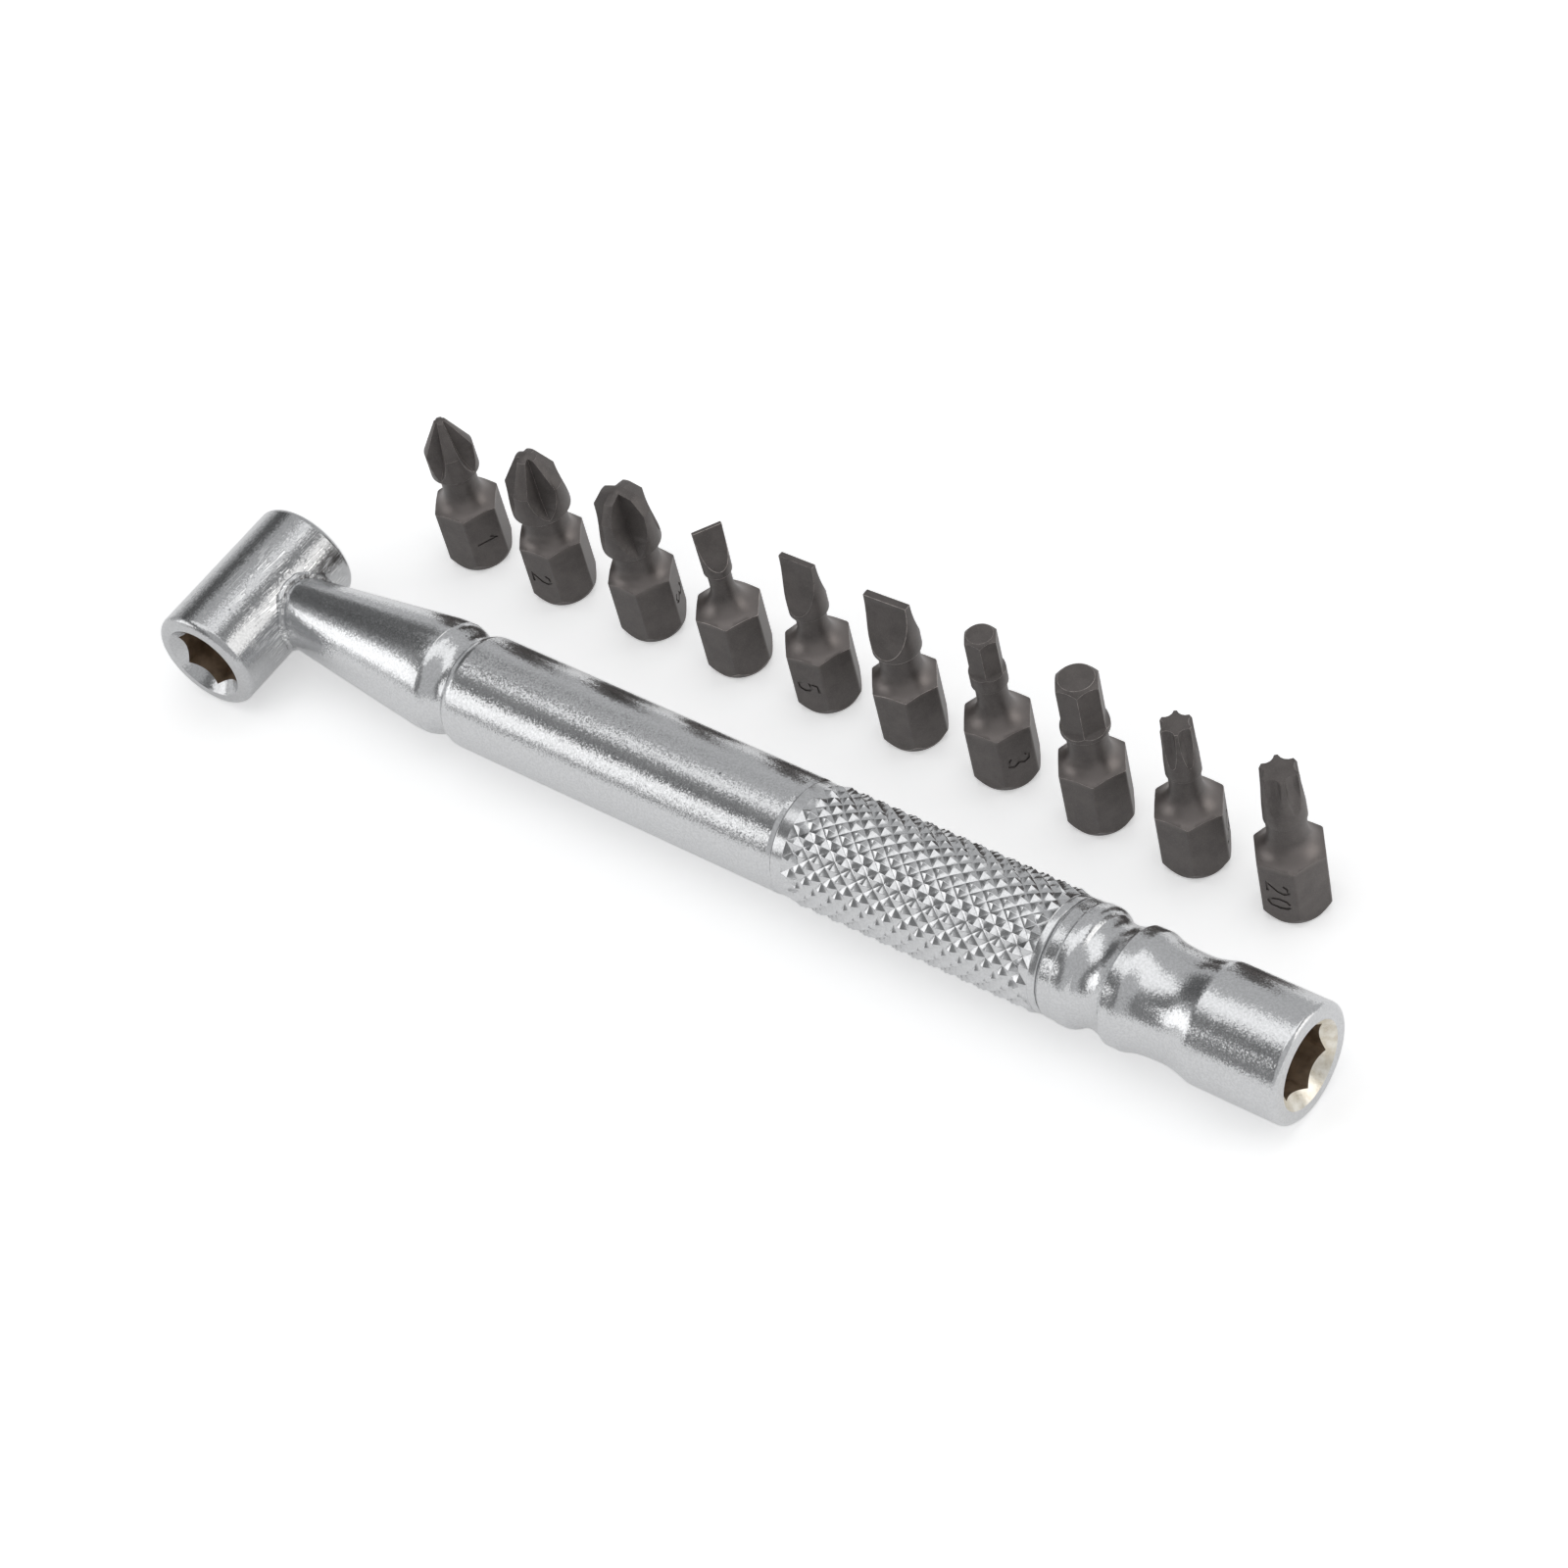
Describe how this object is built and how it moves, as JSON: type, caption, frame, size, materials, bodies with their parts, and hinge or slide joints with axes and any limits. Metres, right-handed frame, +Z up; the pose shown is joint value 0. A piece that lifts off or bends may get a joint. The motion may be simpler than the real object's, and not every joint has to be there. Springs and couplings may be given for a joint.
{
  "type": "offset screwdriver",
  "caption": "Offset driver bar with a knurled grip, a hexagon socket in its nose and one in a cross tube at its other end, with loose short bits standing in a row behind it.",
  "frame": {"origin": "on the floor under the middle of the whole set's box", "axes": "+X along the handle from the cross tube to the nose, +Y from the handle to the row of bits, +Z up, along the bits"},
  "size_m": [0.1324, 0.0346, 0.0191],
  "materials": {
    "satin_chrome": "satin chrome plate over turned steel",
    "bit_steel": "dark matte phosphated tool steel",
    "magnet": "dull nickel plated magnet"
  },
  "bodies": {
    "driver": {"handle_bar": "satin_chrome", "grip_sleeve": "satin_chrome", "nose_socket": "satin_chrome", "cross_socket": "satin_chrome", "weld_bead": "satin_chrome", "nose_magnet": "magnet", "cross_magnet": "magnet"},
    "cross_bit_small": {"cross_bit_small": "bit_steel"},
    "cross_bit_medium": {"cross_bit_medium": "bit_steel"},
    "cross_bit_large": {"cross_bit_large": "bit_steel"},
    "slot_bit_small": {"slot_bit_small": "bit_steel"},
    "slot_bit_medium": {"slot_bit_medium": "bit_steel"},
    "slot_bit_large": {"slot_bit_large": "bit_steel"},
    "hex_bit_small": {"hex_bit_small": "bit_steel"},
    "hex_bit_large": {"hex_bit_large": "bit_steel"},
    "star_bit_small": {"star_bit_small": "bit_steel"},
    "star_bit_large": {"star_bit_large": "bit_steel"}
  },
  "joints": [
    {"name": "lift_cross_bit_small", "type": "slide", "parent": "driver", "child": "cross_bit_small", "axis": [0, 0, 1], "range_m": [0, 0.025]},
    {"name": "lift_cross_bit_medium", "type": "slide", "parent": "driver", "child": "cross_bit_medium", "axis": [0, 0, 1], "range_m": [0, 0.025]},
    {"name": "lift_cross_bit_large", "type": "slide", "parent": "driver", "child": "cross_bit_large", "axis": [0, 0, 1], "range_m": [0, 0.025]},
    {"name": "lift_slot_bit_small", "type": "slide", "parent": "driver", "child": "slot_bit_small", "axis": [0, 0, 1], "range_m": [0, 0.025]},
    {"name": "lift_slot_bit_medium", "type": "slide", "parent": "driver", "child": "slot_bit_medium", "axis": [0, 0, 1], "range_m": [0, 0.025]},
    {"name": "lift_slot_bit_large", "type": "slide", "parent": "driver", "child": "slot_bit_large", "axis": [0, 0, 1], "range_m": [0, 0.025]},
    {"name": "lift_hex_bit_small", "type": "slide", "parent": "driver", "child": "hex_bit_small", "axis": [0, 0, 1], "range_m": [0, 0.025]},
    {"name": "lift_hex_bit_large", "type": "slide", "parent": "driver", "child": "hex_bit_large", "axis": [0, 0, 1], "range_m": [0, 0.025]},
    {"name": "lift_star_bit_small", "type": "slide", "parent": "driver", "child": "star_bit_small", "axis": [0, 0, 1], "range_m": [0, 0.025]},
    {"name": "lift_star_bit_large", "type": "slide", "parent": "driver", "child": "star_bit_large", "axis": [0, 0, 1], "range_m": [0, 0.025]}
  ]
}
